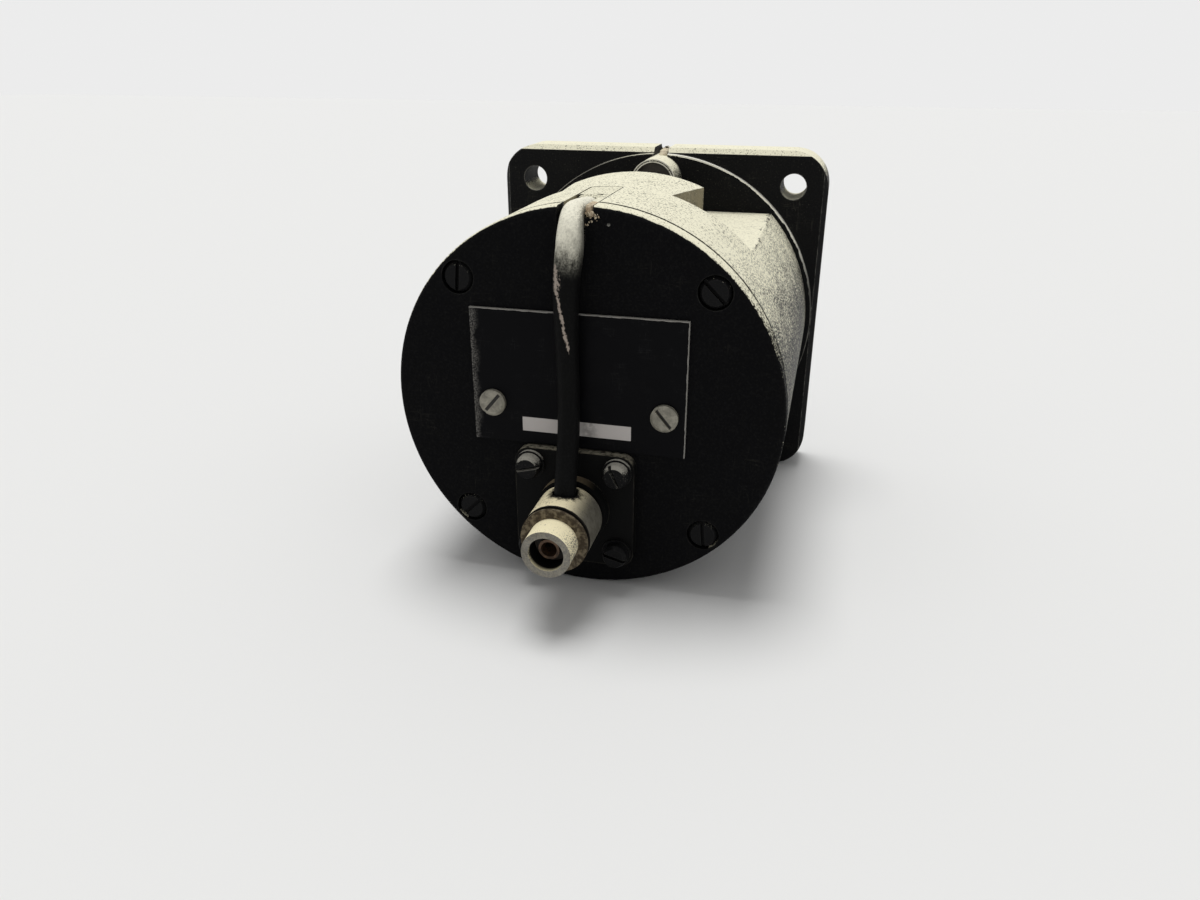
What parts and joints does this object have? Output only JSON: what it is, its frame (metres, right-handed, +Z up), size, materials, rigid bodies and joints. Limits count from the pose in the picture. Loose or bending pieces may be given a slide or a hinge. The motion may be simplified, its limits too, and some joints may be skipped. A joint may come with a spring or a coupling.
{
  "type": "aircraft standby compass",
  "caption": "Panel-mounted liquid-filled magnetic standby compass with square bezel, round case, lighted drum card, gear-driven compensator and rear lighting connector.",
  "frame": {"origin": "centre of the four-hole pattern on the rear face of the bezel, where it meets the panel", "axes": "+Y along the instrument from the window to the rear cover, +Z up, +X to the right when the window faces the viewer"},
  "size_m": [0.059, 0.0779, 0.059],
  "materials": {
    "black_paint": "fine wrinkle black instrument paint on cast aluminium, worn at the edges",
    "rubber": "matt rubber",
    "window_glass": "clear polished glass",
    "lamp_glass": "clear lamp glass",
    "white_mark": "white line",
    "black_screw": "blackened steel, rubbed bright at the slots",
    "bright_screw": "dull plated steel",
    "brass": "turned brass",
    "insulator": "dark moulded insulator",
    "plate_black": "black enamel plate with a pale border line and a bare field",
    "nickel": "dull nickel plating, stained yellow",
    "lead_jacket": "black painted lead, paint chipped pale",
    "cement": "crumbling beige cement, painted black on top",
    "spring_steel": "polished steel",
    "jewel_red": "polished synthetic ruby",
    "card_black": "matt black card with white figures",
    "float_alloy": "thin spun sheet",
    "magnet_steel": "ground magnet steel"
  },
  "bodies": {
    "housing": {"front_bezel": "black_paint", "lens_gasket": "rubber", "lens": "window_glass", "lens_seal": "rubber", "lubber_line": "white_mark", "bezel_screws": "black_screw", "lamp_tube": "black_paint", "lamp_cap": "black_screw", "lamp_bulb": "lamp_glass", "lamp_base": "brass", "lamp_socket": "insulator", "case_body": "black_paint", "filler_plug": "black_screw", "filler_washer": "rubber", "expansion_diaphragm": "brass", "rear_gasket": "rubber", "rear_cover": "black_paint", "cover_screws": "black_screw", "nameplate": "plate_black", "nameplate_screws": "bright_screw", "connector_shell": "nickel", "connector_sleeve": "nickel", "connector_insulator": "insulator", "connector_contact": "brass", "connector_screws": "bright_screw", "connector_washers": "bright_screw", "lighting_lead": "lead_jacket", "lead_cement": "cement", "jewel_post": "brass", "jewel_spring": "spring_steel", "jewel_holder": "brass", "jewel": "jewel_red", "compensator_frame": "brass", "compensator_screws": "black_screw"},
    "pivot_point": {"pivot_tip": "spring_steel"},
    "pivot_shank": {"pivot_pin": "spring_steel"},
    "card": {"compass_card": "card_black", "float_upper": "float_alloy", "float_lower": "float_alloy", "magnet_clip": "brass", "card_magnets": "magnet_steel"},
    "ew_shaft": {"ew_adjuster": "brass", "ew_drive_gear": "brass", "ew_adjuster_magnet": "magnet_steel"},
    "ew_idler": {"ew_follower": "brass", "ew_driven_gear": "brass", "ew_follower_magnet": "magnet_steel"},
    "ns_shaft": {"ns_adjuster": "brass", "ns_bevel_pinion": "brass"},
    "ns_cross": {"ns_cross_shaft": "brass", "ns_bevel_wheel": "brass", "ns_drive_gear": "brass", "ns_cross_magnet": "magnet_steel"},
    "ns_idler": {"ns_follower": "brass", "ns_driven_gear": "brass", "ns_follower_magnet": "magnet_steel"}
  },
  "joints": [
    {"name": "card_bank", "type": "hinge", "parent": "housing", "child": "pivot_point", "pos_m": [0, 0.022, 0.002], "axis": [0, 1, 0], "range_deg": [-15, 15]},
    {"name": "card_pitch", "type": "hinge", "parent": "pivot_point", "child": "pivot_shank", "pos_m": [0, 0.022, 0.002], "axis": [1, 0, 0], "range_deg": [-15, 15]},
    {"name": "card_spin", "type": "hinge", "parent": "pivot_shank", "child": "card", "pos_m": [0, 0.022, 0.002], "axis": [0, 0, 1], "continuous": true},
    {"name": "ew_turn", "type": "hinge", "parent": "housing", "child": "ew_shaft", "pos_m": [-0.008, 0, -0.019], "axis": [0, 1, 0], "continuous": true},
    {"name": "ew_follow", "type": "hinge", "parent": "housing", "child": "ew_idler", "pos_m": [-0.002, 0, -0.019], "axis": [0, 1, 0], "continuous": true},
    {"name": "ns_turn", "type": "hinge", "parent": "housing", "child": "ns_shaft", "pos_m": [0.008, 0, -0.019], "axis": [0, 1, 0], "continuous": true},
    {"name": "ns_cross_turn", "type": "hinge", "parent": "housing", "child": "ns_cross", "pos_m": [0, 0.0202, -0.019], "axis": [1, 0, 0], "continuous": true},
    {"name": "ns_follow", "type": "hinge", "parent": "housing", "child": "ns_idler", "pos_m": [0, 0.0262, -0.019], "axis": [1, 0, 0], "continuous": true}
  ],
  "couplings": [
    {"joint": "ew_follow", "follows": "ew_turn", "ratio": -1},
    {"joint": "ns_cross_turn", "follows": "ns_turn", "ratio": -1},
    {"joint": "ns_follow", "follows": "ns_turn", "ratio": 1}
  ]
}
